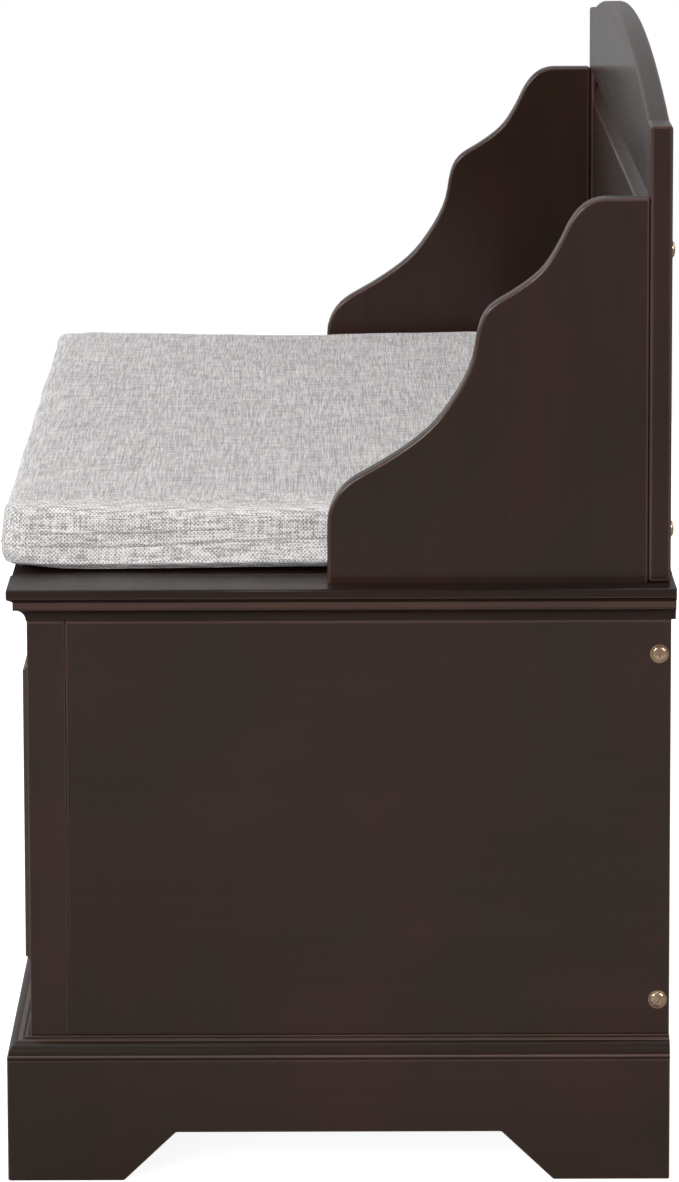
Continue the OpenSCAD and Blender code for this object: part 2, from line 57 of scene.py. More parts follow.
# ---------------------------------------------------------------- materials
class Tree:
    """Short ways to add and join shader nodes."""

    def __init__(self, name):
        self.material = bpy.data.materials.new(name)
        self.material.use_nodes = True
        self.nodes = self.material.node_tree.nodes
        self.links = self.material.node_tree.links
        self.shader = self.nodes["Principled BSDF"]

    def add(self, kind, inputs=None, **settings):
        node = self.nodes.new(kind)
        for key, value in settings.items():
            setattr(node, key, value)
        for key, value in (inputs or {}).items():
            self.put(node.inputs[key], value)
        return node

    def put(self, socket, value):
        if isinstance(value, bpy.types.NodeSocket):
            self.links.new(value, socket)
        else:
            socket.default_value = value

    def math(self, operation, a, b=0.0, clamp=False):
        return self.add("ShaderNodeMath", {0: a, 1: b}, operation=operation, use_clamp=clamp).outputs[0]

    def mix(self, factor, a, b, blend="MIX"):
        node = self.add("ShaderNodeMix", data_type="RGBA", blend_type=blend)
        for socket, value in ((node.inputs[0], factor), (node.inputs[6], a), (node.inputs[7], b)):
            self.put(socket, value)
        return node.outputs[2]

    def span(self, value, low, high, to_low=0.0, to_high=1.0):
        inputs = {0: value, 1: low, 2: high, 3: to_low, 4: to_high}
        return self.add("ShaderNodeMapRange", inputs).outputs[0]

    def noise(self, vector, scale, detail=4.0, rough=0.55, distortion=0.0):
        inputs = {"Vector": vector, "Scale": scale, "Detail": detail, "Roughness": rough,
                  "Distortion": distortion}
        return self.add("ShaderNodeTexNoise", inputs).outputs["Fac"]

    def place(self, scale=(1, 1, 1), shift=(0, 0, 0)):
        where = self.add("ShaderNodeTexCoord").outputs["Object"]
        inputs = {"Vector": where, "Scale": scale, "Location": shift}
        return self.add("ShaderNodeMapping", inputs).outputs[0]

    def bump(self, height, strength, distance):
        inputs = {"Height": height, "Strength": strength, "Distance": distance}
        return self.add("ShaderNodeBump", inputs).outputs[0]

    def finish(self, **constants):
        for key, value in constants.items():
            self.put(self.shader.inputs[key.replace("_", " ")], value)
        return self.material


def rgb(r, g, b):
    return (r, g, b, 1.0)


def stained_wood(name, axis, dark, warm, olive, rough, coat, shift, satin=0.15):
    """Dark stain over a close-grained wood whose fibres run along axis (0, 1 or 2)."""
    t = Tree(name)
    along, across = 1.0, 16.0
    fibre = t.place([along if i == axis else across for i in range(3)], shift)
    pores = t.place([along * 6 if i == axis else across * 22 for i in range(3)], shift)
    cloud = t.noise(t.place((1, 1, 1), shift), 8.0, 4.0, 0.55, 0.4)
    patch = t.noise(t.place((1, 1, 1), shift[::-1]), 3.5, 3.0, 0.55)
    figure = t.noise(fibre, 3.0, 8.0, 0.62, 0.7)
    fine = t.noise(pores, 5.0, 3.0, 0.6)
    tint = t.mix(t.span(cloud, 0.41, 0.59), olive, warm)
    tint = t.mix(t.span(patch, 0.35, 0.7, 0.0, 0.55), tint, dark)
    tint = t.mix(t.span(figure, 0.3, 0.7, 0.0, 0.5), tint, dark)
    tint = t.mix(t.span(fine, 0.55, 0.8, 0.0, 0.35), tint, rgb(0.008, 0.006, 0.005))
    roughness = t.math("ADD", t.span(figure, 0.3, 0.7, rough - 0.05, rough + 0.05),
                       t.span(fine, 0.4, 0.8, -0.02, 0.06))
    height = t.math("ADD", t.math("MULTIPLY", figure, 0.6), t.math("MULTIPLY", fine, 0.4))
    t.put(t.shader.inputs["Base Color"], tint)
    t.put(t.shader.inputs["Roughness"], roughness)
    t.put(t.shader.inputs["Normal"], t.bump(height, 0.10, 0.0006))
    return t.finish(Coat_Weight=coat, Coat_Roughness=satin, Coat_IOR=1.45, Specular_IOR_Level=0.1)


def stain(dark, warm, olive):
    """A stain's colours: in the dark figure of the wood, and in its warm and olive patches."""
    return {"dark": rgb(*dark), "warm": rgb(*warm), "olive": rgb(*olive)}


STAIN = stain((0.014, 0.007, 0.005), (0.031, 0.012, 0.009), (0.022, 0.0125, 0.007))
# Darker stain of the seat boards and mouldings: painted shade
PAINTED_SHADE_STAIN = stain((0.010, 0.005, 0.0035), (0.022, 0.0085, 0.0065), (0.0155, 0.009, 0.005))
# Lighter stains: worn edges, and painted highlights and painted light on faces in shade
WEAR_AND_HIGHLIGHT_STAIN = stain((0.036, 0.019, 0.015), (0.070, 0.035, 0.028), (0.056, 0.031, 0.023))
PALE_WEAR_AND_HIGHLIGHT_STAIN = stain((0.070, 0.045, 0.037), (0.130, 0.080, 0.065), (0.110, 0.070, 0.055))
INNER = stain((0.040, 0.028, 0.022), (0.085, 0.055, 0.042), (0.070, 0.053, 0.040))


def brass(name):
    """Antique brass plate: warm, a little tarnished, brushed by handling."""
    t = Tree(name)
    spots = t.noise(t.place(), 900.0, 4.0, 0.6)
    haze = t.noise(t.place(), 160.0, 3.0, 0.5)
    tint = t.mix(t.span(haze, 0.35, 0.7), rgb(0.66, 0.49, 0.34), rgb(0.42, 0.29, 0.19))
    tint = t.mix(t.span(spots, 0.58, 0.75, 0.0, 0.6), tint, rgb(0.12, 0.075, 0.045))
    t.put(t.shader.inputs["Base Color"], tint)
    t.put(t.shader.inputs["Roughness"], t.span(haze, 0.3, 0.7, 0.18, 0.32))
    t.put(t.shader.inputs["Normal"], t.bump(spots, 0.08, 0.0002))
    return t.finish(Metallic=1.0)


def steel(name):
    t = Tree(name)
    haze = t.noise(t.place((1, 1, 6)), 220.0, 4.0, 0.6)
    t.put(t.shader.inputs["Base Color"], t.mix(haze, rgb(0.50, 0.50, 0.50), rgb(0.66, 0.66, 0.64)))
    t.put(t.shader.inputs["Roughness"], t.span(haze, 0.3, 0.7, 0.25, 0.4))
    return t.finish(Metallic=1.0)


WEAVE_PITCH = 2.8 * MM


def linen(name, light, mid, dark):
    """Plain weave with slubs: threads run along X and Y on top, and along Z on the sides."""
    t = Tree(name)
    coord = t.add("ShaderNodeTexCoord")
    where = coord.outputs["Object"]
    wobble = t.add("ShaderNodeTexNoise", {"Vector": where, "Scale": 45.0, "Detail": 3.0})
    drift = t.add("ShaderNodeVectorMath", {0: wobble.outputs["Color"], 1: (0.003, 0.003, 0.003)},
                  operation="MULTIPLY").outputs[0]
    spot = t.add("ShaderNodeVectorMath", {0: where, 1: drift}, operation="ADD").outputs[0]
    parts = t.add("ShaderNodeSeparateXYZ", {0: spot})
    wave = [t.math("SINE", t.math("MULTIPLY", parts.outputs[i], 2 * math.pi / WEAVE_PITCH)) for i in range(3)]
    wave = [t.span(w, -0.8, 0.8, -1.0, 1.0) for w in wave]
    normal = t.add("ShaderNodeSeparateXYZ", {0: coord.outputs["Normal"]})
    weave = 0.0
    for i in range(3):
        a, b = [wave[j] for j in range(3) if j != i]
        facing = t.math("ABSOLUTE", normal.outputs[i])
        weave = t.math("ADD", weave, t.math("MULTIPLY", facing, t.math("MULTIPLY", a, b)))
    slub = 0.0
    for i in range(3):
        scale = [(10.0 if i == 0 else 24.0) if j == i else 360.0 for j in range(3)]
        streak = t.noise(t.place(scale, (i * 3.1, 1.7, 0.4)), 2.6, 5.0, 0.7)
        across = t.math("SUBTRACT", 1.0, t.math("ABSOLUTE", normal.outputs[i]), True)
        slub = t.math("ADD", slub, t.math("MULTIPLY", across, t.span(streak, 0.33, 0.67, -0.5, 0.5)))
    cloud = t.noise(t.place(), 9.0, 3.0, 0.5)
    tone = t.math("ADD", t.span(weave, -1.0, 1.0, 0.08, 0.92), t.math("MULTIPLY", slub, 1.4))
    tone = t.math("ADD", tone, t.span(cloud, 0.3, 0.7, -0.04, 0.04), True)
    tint = t.mix(t.span(tone, 0.0, 0.5), dark, mid)
    tint = t.mix(t.span(tone, 0.5, 1.0), tint, light)
    height = t.math("ADD", t.math("MULTIPLY", weave, 0.5), t.math("MULTIPLY", slub, 0.9))
    t.put(t.shader.inputs["Base Color"], tint)
    t.put(t.shader.inputs["Normal"], t.bump(height, 0.6, 0.0006))
    return t.finish(Roughness=0.92, Sheen_Weight=0.25, Sheen_Roughness=0.5, Specular_IOR_Level=0.2)


def plain(name, colour, speck, rough):
    """A dull material with fine specks, for tapes and stitching thread."""
    t = Tree(name)
    grain = t.noise(t.place(), 1400.0, 3.0, 0.6)
    t.put(t.shader.inputs["Base Color"], t.mix(t.span(grain, 0.35, 0.65), colour, speck))
    t.put(t.shader.inputs["Normal"], t.bump(grain, 0.3, 0.0003))
    return t.finish(Roughness=rough)


# Two materials for each group of boards and direction of the fibres: the board's own stain, and a lighter one
# for worn edges, painted highlights and painted light
WOODS = {}
for axis, letter in enumerate("xyz"):
    shift = (0.37 * axis + 0.2, 1.3 - axis, 0.8 * axis)
    glossy = {"coat": 0.6, "shift": shift}
    satin = {"coat": 0.35, "shift": shift, "satin": 0.22}
    WOODS["espresso_wood", axis] = (stained_wood(f"stain_{letter}", axis, rough=0.45, **glossy, **STAIN),
                                    stained_wood(f"stain_wear_and_highlight_{letter}", axis, rough=0.42, **glossy, **WEAR_AND_HIGHLIGHT_STAIN))
    # Seat boards and mouldings: a darker stain as painted shade, and a lighter second material
    painted_shade_wood = stained_wood(f"deep_{letter}", axis, rough=0.5, **satin, **PAINTED_SHADE_STAIN)
    seat_wear_and_highlight = stained_wood(f"seat_wear_and_highlight_{letter}", axis, rough=0.42, **satin, **WEAR_AND_HIGHLIGHT_STAIN)
    moulding_wear_and_highlight = stained_wood(f"moulding_wear_and_highlight_{letter}", axis, rough=0.42, **satin, **PALE_WEAR_AND_HIGHLIGHT_STAIN)
    WOODS["seat_wood", axis] = (painted_shade_wood, seat_wear_and_highlight)
    WOODS["moulded_wood", axis] = (painted_shade_wood, moulding_wear_and_highlight)
    inner = stained_wood(f"inner_{letter}", axis, rough=0.62, coat=0.0, shift=shift, **INNER)
    WOODS["inner_wood", axis] = (inner, inner)
BRASS = brass("antique_brass")
STEEL = steel("plated_steel")
LINEN = linen("linen", rgb(0.80, 0.775, 0.765), rgb(0.56, 0.54, 0.535), rgb(0.27, 0.26, 0.26))
# Darker linen for the turned-under band below the welt seam: painted shade
LINEN_PAINTED_SHADE = linen("linen_painted_shade", rgb(0.46, 0.45, 0.44), rgb(0.24, 0.235, 0.23), rgb(0.07, 0.068, 0.066))
TAPE = plain("tape", rgb(0.035, 0.035, 0.038), rgb(0.08, 0.08, 0.085), 0.85)
THREAD = plain("thread", rgb(0.15, 0.14, 0.135), rgb(0.26, 0.25, 0.24), 0.8)


# ---------------------------------------------------------------- pieces
def new_object(name, mesh, *materials):
    piece = bpy.data.objects.new(name, mesh)
    bpy.context.scene.collection.objects.link(piece)
    for material in materials:
        mesh.materials.append(material)
    return piece


def applied(piece):
    """Bakes a piece's modifiers into its mesh."""
    bpy.context.view_layer.update()
    graph = bpy.context.evaluated_depsgraph_get()
    mesh = bpy.data.meshes.new_from_object(piece.evaluated_get(graph))
    piece.modifiers.clear()
    piece.data = mesh
    return piece


def weighted(piece):
    """Flat faces stay flat and the eased edges between them shade round."""
    piece.data.shade_smooth()
    tool = piece.modifiers.new("normals", "WEIGHTED_NORMAL")
    tool.weight = 80
    return applied(piece)


# Direction of the fibres where it isn't the board's longest side
GRAIN = {"side_panel_left": 1, "side_panel_right": 1, "arm_left": 2, "arm_right": 2}
FINE_MOULDINGS = ("cove", "base_moulding")
SEAT_BOARDS = ("seat_strip_left", "seat_strip_right", "seat_strip_rear", "lid_board")
# How far the arrises are rounded over, in mm: the first entry that a board's name starts with
ROUND = {"seat_strip_rear": 0.25, "cove": 0.2, "base_moulding": 0.2, "arm": 2.2, "back_stile": 2.0,
         "back_crest_rail": 2.0, "plinth": 1.0, "": 0.7}
SHARP = math.radians(28)
SHORTEST_EASED = 2.5 * MM
# Painted highlight lines in the lighter stain: heights in mm over the moulding's foot, and over the cove's
# foot for the boards under it
MOULDING_HIGHLIGHT_LINES = ((2.3, 3.1), (12.0, 12.78), (14.1, 20.0))
UNDER_COVE_HIGHLIGHT_LINE = ((-2.1, -0.6),)
# Height over a seat board's foot under which its sides get painted light
SEAT_LOWER_LIP = 4.8 * MM


def grain_axis(node):
    low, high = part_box(node)
    size = high - low
    return GRAIN.get(node, max(range(3), key=lambda i: size[i]))


def tone_group_of(node):
    """The seat boards and the mouldings get a darker stain than the other boards: painted shade."""
    if node in SEAT_BOARDS:
        return "seat_wood"
    return "moulded_wood" if node.startswith(FINE_MOULDINGS) else SLOT_OF[node]


def painted_highlight_lines(node):
    """Heights between which painted highlight lines run along a board, as (low, high) pairs."""
    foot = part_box(node)[0].z
    lines = MOULDING_HIGHLIGHT_LINES if node.startswith("base_moulding") else ()
    if node.startswith(("side_panel", "front_post")):
        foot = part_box("cove_right")[0].z
        lines = UNDER_COVE_HIGHLIGHT_LINE
    return [(foot + low * MM, foot + high * MM) for low, high in lines]


def painted_light_face(node, normal, spot):
    """True on the faces with painted light in the lighter stain: the highlight lines, a highlight on the side
    groove and the seat's lower lip.
    """
    if any(low < spot.z < high for low, high in painted_highlight_lines(node)) and abs(normal.z) < 0.99:
        return True
    if node.startswith("side_panel"):
        # Painted highlight on the side groove's chamfer that faces the front
        return 0.2 < abs(normal.x) < 0.9 and abs(normal.z) < 0.1 and normal.y < 0
    if node in SEAT_BOARDS:
        # Painted light on the seat's lower lip, which lies in the shade of the lip above
        return abs(normal.z) < 0.3 and spot.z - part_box(node)[0].z < SEAT_LOWER_LIP
    return False


def butts(node, edge):
    """True where an arm's edge stands on the seat, so it stays sharp."""
    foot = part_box(node)[0].z
    return node.startswith("arm") and all(v.co.z < foot + 0.1 * MM for v in edge.verts)


def clean_copy(node):
    """A copy of the CAD board's mesh with no materials and no sharpness marks."""
    mesh = NODES[node].data.copy()
    mesh.materials.clear()
    if "sharp_edge" in mesh.attributes:
        mesh.attributes.remove(mesh.attributes["sharp_edge"])
    return mesh


def mark_painted_light(bm, node):
    """Cuts a board along its painted highlight lines and gives the faces with painted light the second
    material.
    """
    for height in (h for line in painted_highlight_lines(node) for h in line):
        bmesh.ops.bisect_plane(bm, geom=bm.verts[:] + bm.edges[:] + bm.faces[:], dist=1e-6,
                               plane_co=(0, 0, height), plane_no=(0, 0, 1))
    for face in bm.faces:
        face.material_index = int(painted_light_face(node, face.normal, face.calc_center_median()))


def round_over(bm, node):
    """Eases the board's arrises and gives them the lighter stain, partly wear and partly painted highlight,
    except where they look down or at the backrest.
    """
    width = next(size for start, size in ROUND.items() if node.startswith(start)) * MM
    sharp = [e for e in bm.edges if len(e.link_faces) == 2 and e.calc_face_angle() > SHARP
             and e.calc_length() > SHORTEST_EASED and not butts(node, e)]
    made = bmesh.ops.bevel(bm, geom=sharp, offset=width, segments=3, profile=0.5, affect="EDGES",
                           clamp_overlap=False, loop_slide=True)
    for face in made["faces"]:
        shaded = face.normal.z < -0.3 or (node.startswith("arm") and face.normal.y > 0.3)
        face.material_index = int(not shaded)


def eased_board(node):
    """The CAD board with its sharp edges rounded over, and a lighter stain for its worn edges, painted
    highlights and painted light.
    """
    mesh = clean_copy(node)
    bm = bmesh.new()
    bm.from_mesh(mesh)
    bmesh.ops.remove_doubles(bm, verts=bm.verts, dist=1e-6)
    bmesh.ops.dissolve_limit(bm, angle_limit=math.radians(0.8), verts=bm.verts, edges=bm.edges)
    mark_painted_light(bm, node)
    round_over(bm, node)
    bmesh.ops.recalc_face_normals(bm, faces=bm.faces)
    bm.to_mesh(mesh)
    bm.free()
    body, wear_and_highlight = WOODS[tone_group_of(node), grain_axis(node)]
    piece = weighted(new_object(f"{node}_eased", mesh, body, wear_and_highlight))
    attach(piece, BODY_OF[node])
    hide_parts(node)


def dress(node, material):
    NODES[node].data.materials.clear()
    NODES[node].data.materials.append(material)


for node in sorted(NODES):
    if SLOT_OF[node] in ("espresso_wood", "inner_wood") and node != "back_dowels":
        eased_board(node)
for node in ("hinge_fixed_leaves", "hinge_lid_leaves", "hinge_fixed_screws", "hinge_lid_screws"):
    dress(node, BRASS)
for node in ("bolt_inserts", "hinge_pins", "arm_screws"):
    dress(node, STEEL)
dress("back_dowels", WOODS["inner_wood", 2][0])
dress("cushion_tapes", TAPE)


# ---------------------------------------------------------------- bolts
BOLT_PROFILE = [(1.7, 0.35, 1), (2.0, 0.5, 1), (2.0, 1.9, 1), (2.2, 2.08, 1), (2.9, 2.05, 0), (3.7, 1.9, 0),
                (4.5, 1.6, 0), (5.0, 1.2, 0), (5.3, 0.7, 0), (5.35, 0.12, 0), (5.8, 0.1, 0), (6.05, 0.5, 0),
                (6.4, 0.45, 0), (6.5, 0.2, 0), (6.5, 0.0, 0), (3.0, 0.0, 0)]


def bolt_mesh(bm, foot, out, length):
    """Domed bolt on a thin flange: rings of (radius, height, is it on the hexagon key socket)."""
    turns = 48
    spin = out.to_track_quat("Z", "Y").to_matrix()
    rings = []
    for radius, height, on_key in BOLT_PROFILE + [(3.0, -length / MM, 0)]:
        ring = []
        for i in range(turns):
            angle = 2 * math.pi * i / turns
            off_flat = (angle % (math.pi / 3)) - math.pi / 6
            r = radius / math.cos(off_flat) if on_key else radius
            spot = Vector((r * math.cos(angle), r * math.sin(angle), height))
            ring.append(bm.verts.new(foot + spin @ spot * MM))
        rings.append(ring)
    for a, b in zip(rings, rings[1:]):
        for i in range(turns):
            bm.faces.new((a[i - 1], b[i - 1], b[i], a[i]))
    bm.faces.new(rings[0])
    bm.faces.new(rings[-1][::-1])


def bolts(node, out_axis):
    """Every bolt of a CAD node, found from the loose parts of its mesh."""
    source = bmesh.new()
    source.from_mesh(NODES[node].data)
    bmesh.ops.remove_doubles(source, verts=source.verts, dist=1e-6)
    left = set(source.verts)
    bm = bmesh.new()
    while left:
        seed = left.pop()
        part, todo = [seed], [seed]
        while todo:
            for edge in todo.pop().link_edges:
                for v in edge.verts:
                    if v in left:
                        left.discard(v)
                        part.append(v)
                        todo.append(v)
        low = [min(v.co[i] for v in part) for i in range(3)]
        high = [max(v.co[i] for v in part) for i in range(3)]
        foot = Vector([(a + b) / 2 for a, b in zip(low, high)])
        sign = 1.0 if out_axis == 1 or foot.x > 0 else -1.0
        out = Vector([sign if i == out_axis else 0.0 for i in range(3)])
        head = 2.0 * MM
        foot[out_axis] = (high if sign > 0 else low)[out_axis] - sign * head
        bolt_mesh(bm, foot, out, high[out_axis] - low[out_axis] - head)
    source.free()
    mesh = bpy.data.meshes.new(f"{node}_mesh")
    bmesh.ops.recalc_face_normals(bm, faces=bm.faces)
    bm.to_mesh(mesh)
    bm.free()
    piece = new_object(f"{node}_domed", mesh, BRASS)
    mesh.shade_smooth()
    edges = piece.modifiers.new("edges", "EDGE_SPLIT")
    edges.split_angle = math.radians(50)
    applied(piece)
    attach(piece, BODY_OF[node])
    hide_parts(node)


bolts("side_bolts", 0)
bolts("back_bolts", 1)


# ---------------------------------------------------------------- cushion
cushion_low, cushion_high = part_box("cushion")
MAIN_SEAM = 19.0 * MM
FLAP_SEAM = 28.0 * MM
WELT_SEAM = 4.2 * MM
TURN_UNDER = 5.0 * MM
TURN_IN = 4.5 * MM
SEAM_PROFILE = [(-3.0, 0.0), (-1.6, -0.1), (-0.5, -0.45), (0.0, -0.6), (0.5, 0.0), (1.3, 0.55), (3.0, 0.0)]


def wander(x, y, z):
    """How far a seam at height z strays up or down along the cushion's side."""
    free = min(1.0, max(0.0, z - cushion_low.z) / MAIN_SEAM)
    along_end = -2.8 * math.cos(2 * math.pi * (y + 0.175) / 0.34)
    along_front = 1.5 * math.sin(2 * math.pi * x / 0.5)
    return free * (along_end + along_front) * MM


def seam_reach(height, x, y):
    """1 where a seam is sewn, 0 where it isn't: the flap seam runs over the front half of both ends."""
    if height != FLAP_SEAM:
        return 1.0
    along = (y - cushion_low.y) / (cushion_high.y - cushion_low.y)
    return max(0.0, min(1.0, (0.5 - along) * 8)) * max(0.0, min(1.0, (abs(x) - 0.462) * 200))


def sew_seams(piece):
    """Cuts edge loops along the seams and draws them in, with a low ridge above each."""
    bm = bmesh.new()
    bm.from_mesh(piece.data)
    for v in bm.verts:
        v.co.z -= wander(*v.co)
    heights = [cushion_low.z + h for h in (WELT_SEAM, MAIN_SEAM, FLAP_SEAM)]
    for height in heights:
        band = {f for f in bm.faces if abs(f.calc_center_median().z - height) < 8 * MM}
        for off, _ in SEAM_PROFILE:
            parts = {e for f in band for e in f.edges} | {v for f in band for v in f.verts} | band
            cut = bmesh.ops.bisect_plane(bm, geom=list(parts), dist=1e-6, plane_co=(0, 0, height + off * MM),
                                         plane_no=(0, 0, 1))
            band = {part for part in cut["geom"] if isinstance(part, bmesh.types.BMFace)}
    bm.normal_update()
    offs, depths = zip(*SEAM_PROFILE)
    for v in bm.verts:
        side = Vector((v.normal.x, v.normal.y, 0.0))
        if side.length < 0.35:
            continue
        for seam, height in zip((WELT_SEAM, MAIN_SEAM, FLAP_SEAM), heights):
            off = (v.co.z - height) / MM
            if abs(off) < 3.0:
                reach = seam_reach(seam, v.co.x, v.co.y)
                v.co += side.normalized() * float(np.interp(off, offs, depths)) * MM * reach
        under = 1.0 - min(1.0, max(0.0, v.co.z - cushion_low.z) / TURN_UNDER)
        v.co -= side.normalized() * TURN_IN * under ** 1.5
    # Below the welt seam the cover takes the darker linen: painted shade
    for face in bm.faces:
        face.material_index = int(face.calc_center_median().z < heights[0])
    for v in bm.verts:
        v.co.z += wander(*v.co)
    bm.to_mesh(piece.data)
    bm.free()


STITCH_DROP = -0.3 * MM


def stitch_rows(piece, pitch=3.6 * MM, long=1.9 * MM, radius=0.35 * MM):
    """Small stitches laid on the cover just under the main seam and along the flap seam."""
    faces = [p.vertices for p in piece.data.polygons]
    tree = BVHTree.FromPolygons([v.co for v in piece.data.vertices], faces)
    low, high = cushion_low, cushion_high
    bm = bmesh.new()
    sides = [((low.x, low.y), (high.x, low.y), (0, 1)), ((high.x, low.y), (high.x, high.y), (-1, 0)),
             ((high.x, high.y), (low.x, high.y), (0, -1)), ((low.x, high.y), (low.x, low.y), (1, 0))]
    for seam in (MAIN_SEAM, FLAP_SEAM):
        for start, end, inward in sides:
            run = Vector(end) - Vector(start)
            along = run.normalized()
            count = int((run.length - 40 * MM) / pitch)
            for i in range(count):
                at = Vector(start) + along * (20 * MM + i * pitch)
                if seam_reach(seam, at.x, at.y) < 0.5:
                    continue
                z = cushion_low.z + seam + STITCH_DROP
                z += wander(at.x, at.y, z)
                hits = []
                for step in (-0.5, 0.5):
                    origin = Vector((*(at + along * step * long - Vector(inward) * 0.05), z))
                    hits.append(tree.ray_cast(origin, Vector((*inward, 0.0)), 0.12)[0])
                if None in hits:
                    continue
                add_stitch(bm, hits[0], hits[1], Vector((*inward, 0.0)), radius)
    mesh = bpy.data.meshes.new("stitch_mesh")
    bm.to_mesh(mesh)
    bm.free()
    mesh.shade_smooth()
    return new_object("cushion_stitching", mesh, THREAD)


def add_stitch(bm, a, b, inward, radius):
    """A short thread that dives into the cloth at both ends."""
    axis = (b - a).normalized()
    side = axis.cross(inward)
    rings = []
    for t, width, sink in ((0.0, 0.35, 1.0), (0.25, 1.0, 0.0), (0.75, 1.0, 0.0), (1.0, 0.35, 1.0)):
        centre = a.lerp(b, t) + inward * sink * radius
        ring = []
        for k in range(6):
            spoke = side * math.cos(k * math.pi / 3) + inward * math.sin(k * math.pi / 3)
            ring.append(bm.verts.new(centre + spoke * radius * width))
        rings.append(ring)
    for p, q in zip(rings, rings[1:]):
        for k in range(6):
            bm.faces.new((p[k - 1], p[k], q[k], q[k - 1]))
    bm.faces.new(rings[0][::-1])
    bm.faces.new(rings[-1])


def vertex_array(mesh, what):
    values = np.zeros(len(mesh.vertices) * 3, np.float32)
    mesh.vertices.foreach_get(what, values)
    return values.reshape(-1, 3)


FRONT_SWELL = Vector((0, 2.0, 0)) * MM
CROWN = Vector((0, 0, 3.2)) * MM
FULL_SHOULDERS = 1.6


def fit_to_box(piece):
    """Sizes the swollen cushion to the CAD cushion's room, a little proud of it in front and on top."""
    spots = vertex_array(piece.data, "co")
    low, high = spots.min(0), spots.max(0)
    want_low = np.array(cushion_low - FRONT_SWELL)
    want_high = np.array(cushion_high + CROWN)
    share = (spots - low) / (high - low)
    share[:, 2] = 1.0 - np.clip(1.0 - share[:, 2], 0.0, 1.0) ** FULL_SHOULDERS
    spots = want_low + share * (want_high - want_low)
    piece.data.vertices.foreach_set("co", spots.astype(np.float32).ravel())
    piece.data.update()


def soften(piece):
    """Slight hand-filled unevenness of the cover, none of it on the underside."""
    spots = vertex_array(piece.data, "co")
    normals = vertex_array(piece.data, "normal")
    up = np.clip((spots[:, 2] - cushion_low.z) / (8 * MM), 0.0, 1.0)
    broad = np.array([noise.noise(Vector(co) * 9.0) for co in spots])
    small = np.array([noise.noise(Vector(co) * 38.0) for co in spots])
    swell = broad * 0.7 + small * 0.3
    spots -= normals * ((0.5 - swell) * up * MM)[:, None]
    piece.data.vertices.foreach_set("co", spots.ravel())
    piece.data.update()


def cushion_block(shrink):
    """Rounded slab that the cushion is blown up from."""
    low = cushion_low + Vector((shrink, shrink, 0.0))
    high = cushion_high - Vector((shrink, shrink, shrink))
    bm = bmesh.new()
    bmesh.ops.create_cube(bm, size=1.0)
    for v in bm.verts:
        v.co = Vector([(low[i] + high[i]) / 2 + v.co[i] * (high[i] - low[i]) for i in range(3)])
    upright = [e for e in bm.edges if abs(e.verts[0].co.z - e.verts[1].co.z) > 0.01]
    bmesh.ops.bevel(bm, geom=upright, offset=20 * MM, segments=6, profile=0.5, affect="EDGES")
    rims = [e for e in bm.edges if e.calc_face_angle() > math.radians(60)]
    bmesh.ops.bevel(bm, geom=rims, offset=9 * MM, segments=4, profile=0.5, affect="EDGES")
    mesh = bpy.data.meshes.new("cushion_mesh")
    bm.to_mesh(mesh)
    bm.free()
    return mesh


def inflate(piece, frames=20, cap=7 * MM):
    """Cloth simulation: pressure swells the slab while its underside stays on the lid."""
    base = [v.co.copy() for v in piece.data.vertices]
    held = piece.vertex_groups.new(name="held")
    floor = cushion_low.z + 1.0 * MM
    held.add([i for i, co in enumerate(base) if co.z < floor], 1.0, "REPLACE")
    cloth = piece.modifiers.new("cloth", "CLOTH")
    settings = cloth.settings
    settings.quality = 6
    settings.mass = 0.3
    settings.tension_stiffness = 25
    settings.compression_stiffness = 25
    settings.shear_stiffness = 15
    settings.bending_stiffness = 3
    settings.use_pressure = True
    settings.uniform_pressure_force = 4.0
    settings.vertex_group_mass = "held"
    settings.effector_weights.gravity = 0.0
    cloth.collision_settings.use_collision = False
    scene = bpy.context.scene
    for number in range(1, frames + 1):
        scene.frame_set(number)
    graph = bpy.context.evaluated_depsgraph_get()
    swollen = [v.co.copy() for v in piece.evaluated_get(graph).data.vertices]
    piece.modifiers.clear()
    scene.frame_set(1)
    for vertex, start, end in zip(piece.data.vertices, base, swollen):
        move = end - start
        if move.length > cap:
            move = move.normalized() * cap
        vertex.co = start + move
    return piece


def make_cushion():
    piece = new_object("seat_cushion", cushion_block(4 * MM), LINEN, LINEN_PAINTED_SHADE)
    remesh = piece.modifiers.new("remesh", "REMESH")
    remesh.mode = "VOXEL"
    remesh.voxel_size = 6 * MM
    applied(piece)
    inflate(piece)
    subdivide = piece.modifiers.new("subdivide", "SUBSURF")
    subdivide.levels = 1
    applied(piece)
    fit_to_box(piece)
    soften(piece)
    sew_seams(piece)
    return piece


cushion = make_cushion()
cushion.data.shade_smooth()
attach(cushion, "lid")
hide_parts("cushion")
stitching = stitch_rows(cushion)
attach(stitching, "lid")


# ---------------------------------------------------------------- floor, light and camera
def stage_floor():
    mesh = bpy.data.meshes.new("floor_mesh")
    bm = bmesh.new()
    bmesh.ops.create_circle(bm, cap_ends=True, segments=96, radius=3.2)
    bm.to_mesh(mesh)
    bm.free()
    t = Tree("pale_floor")
    haze = t.noise(t.place(), 3.0, 2.0, 0.5)
    t.put(t.shader.inputs["Base Color"], t.mix(haze, rgb(0.40, 0.40, 0.40), rgb(0.44, 0.44, 0.44)))
    seen = t.add("ShaderNodeLightPath").outputs["Is Camera Ray"]
    t.put(t.shader.inputs["Emission Color"], rgb(1.0, 1.0, 1.0))
    t.put(t.shader.inputs["Emission Strength"], t.math("MULTIPLY", seen, 0.92))
    t.finish(Roughness=0.9, Specular_IOR_Level=0.1)
    floor = new_object("floor", mesh, t.material)
    floor.location.z = -0.2 * MM


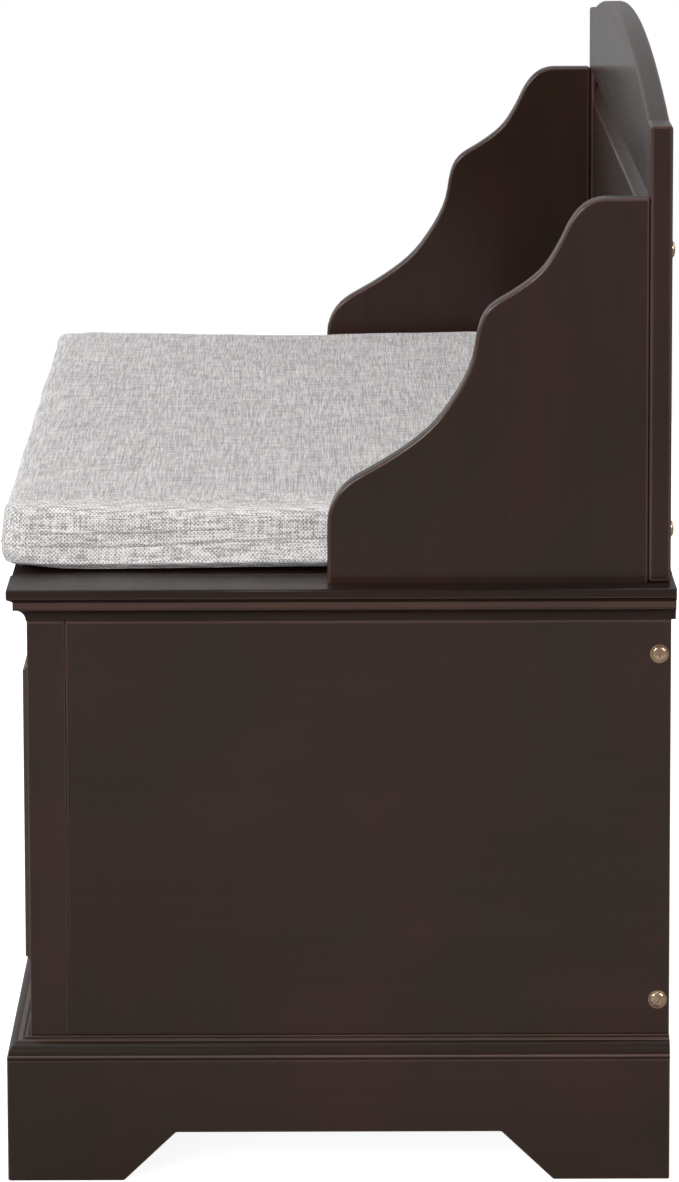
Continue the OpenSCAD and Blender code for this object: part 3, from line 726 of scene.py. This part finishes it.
def soft_light(name, at, aim, size, power, mirrored=True, lit=True):
    data = bpy.data.lights.new(name, "AREA")
    data.shape = "RECTANGLE"
    data.size, data.size_y = size
    data.energy = power
    light = bpy.data.objects.new(name, data)
    bpy.context.scene.collection.objects.link(light)
    light.location = at
    light.rotation_euler = (Vector(aim) - Vector(at)).to_track_quat("-Z", "Y").to_euler()
    light.visible_glossy = mirrored
    light.visible_diffuse = lit


def studio():
    world = bpy.data.worlds.new("studio")
    world.use_nodes = True
    nodes, links = world.node_tree.nodes, world.node_tree.links
    seen = nodes["Background"]
    seen.inputs[0].default_value = rgb(1.0, 1.0, 1.0)
    seen.inputs[1].default_value = 1.0
    room = nodes.new("ShaderNodeBackground")
    room.inputs[0].default_value = rgb(1.0, 1.0, 1.0)
    room.inputs[1].default_value = 0.35
    path = nodes.new("ShaderNodeLightPath")
    mix = nodes.new("ShaderNodeMixShader")
    links.new(path.outputs["Is Camera Ray"], mix.inputs[0])
    links.new(room.outputs[0], mix.inputs[1])
    links.new(seen.outputs[0], mix.inputs[2])
    links.new(mix.outputs[0], nodes["World Output"].inputs[0])
    bpy.context.scene.world = world
    soft_light("overhead", (0.2, -0.4, 3.4), (0, 0, 0.4), (2.6, 2.2), 30)
    soft_light("key", (5.2, -1.6, 2.1), (0.3, 0, 0.4), (2.4, 2.2), 275, mirrored=False)
    soft_light("left_glint", (4.2, -3.2, 3.4), (0.5, 0, 0.3), (1.8, 1.8), 150, lit=False)
    soft_light("right_glint", (4.2, 3.6, 3.4), (0.5, 0, 0.3), (1.8, 1.8), 150, lit=False)
    soft_light("front_left", (-1.6, -3.6, 2.2), (0, 0, 0.4), (2.2, 2.2), 60)
    soft_light("behind", (-1.5, 3.4, 2.4), (0, 0, 0.5), (2.4, 2.4), 50)


def set_camera():
    """The camera looks along the bench from its right-hand end, slightly down."""
    pitch, yaw, roll = (math.radians(a) for a in (9.560, -0.079, -0.150))
    ahead = Vector((-math.cos(pitch) * math.cos(yaw), -math.cos(pitch) * math.sin(yaw), -math.sin(pitch)))
    level = ahead.cross(Vector((0, 0, 1))).normalized()
    above = level.cross(ahead)
    right = level * math.cos(roll) + above * math.sin(roll)
    up = above * math.cos(roll) - level * math.sin(roll)
    data = bpy.data.cameras.new("camera")
    data.lens = 197.46
    data.sensor_width = 36.0
    data.clip_end = 100.0
    camera = bpy.data.objects.new("camera", data)
    bpy.context.scene.collection.objects.link(camera)
    turn = Matrix((right, up, -ahead)).transposed().to_4x4()
    camera.matrix_world = Matrix.Translation((4.8974, -0.0042, 1.1446)) @ turn
    bpy.context.scene.camera = camera


stage_floor()
studio()
set_camera()
bpy.context.scene.view_settings.view_transform = "Standard"
